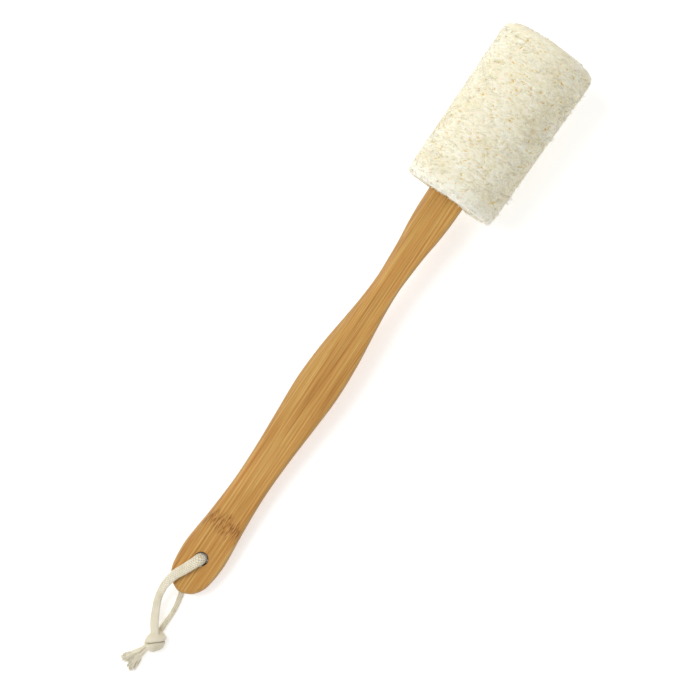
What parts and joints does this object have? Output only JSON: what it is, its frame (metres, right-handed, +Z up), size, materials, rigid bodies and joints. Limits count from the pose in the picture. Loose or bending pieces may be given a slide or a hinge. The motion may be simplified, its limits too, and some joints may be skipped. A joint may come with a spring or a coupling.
{
  "type": "loofah back scrubber",
  "caption": "Natural loofah cylinder fixed on a long flat waisted bamboo handle, with a knotted flat cotton hanging cord through a hole in the handle's rounded tail.",
  "frame": {"origin": "on the surface the scrubber lies on, under the middle of the handle and loofah; the loofah's near rim and the cord under the tail touch that surface", "axes": "+X along the scrubber from the cord's end of the handle to the loofah, +Z up; the handle itself rises 4.5 degrees towards the loofah"},
  "size_m": [0.4662, 0.0638, 0.0702],
  "materials": {
    "bamboo": "sanded and lightly oiled bamboo with fine fibre streaks",
    "loofah": "matte dried gourd fibre mesh",
    "glue": "cured hot-melt glue",
    "cotton_cord": "flat braided unbleached cotton"
  },
  "bodies": {
    "scrubber": {"bamboo_handle": "bamboo", "loofah_sponge": "loofah", "glue_plug": "glue"},
    "hanging_loop": {"hanging_cord": "cotton_cord", "cord_knot": "cotton_cord", "cord_end_long": "cotton_cord", "cord_end_short": "cotton_cord"}
  },
  "joints": [
    {"name": "loop_swing", "type": "hinge", "parent": "scrubber", "child": "hanging_loop", "pos_m": [-0.17733, 0.00205, 0.00926], "axis": [-0.0783, 0, 0.9969], "range_deg": [-120, 120]}
  ]
}
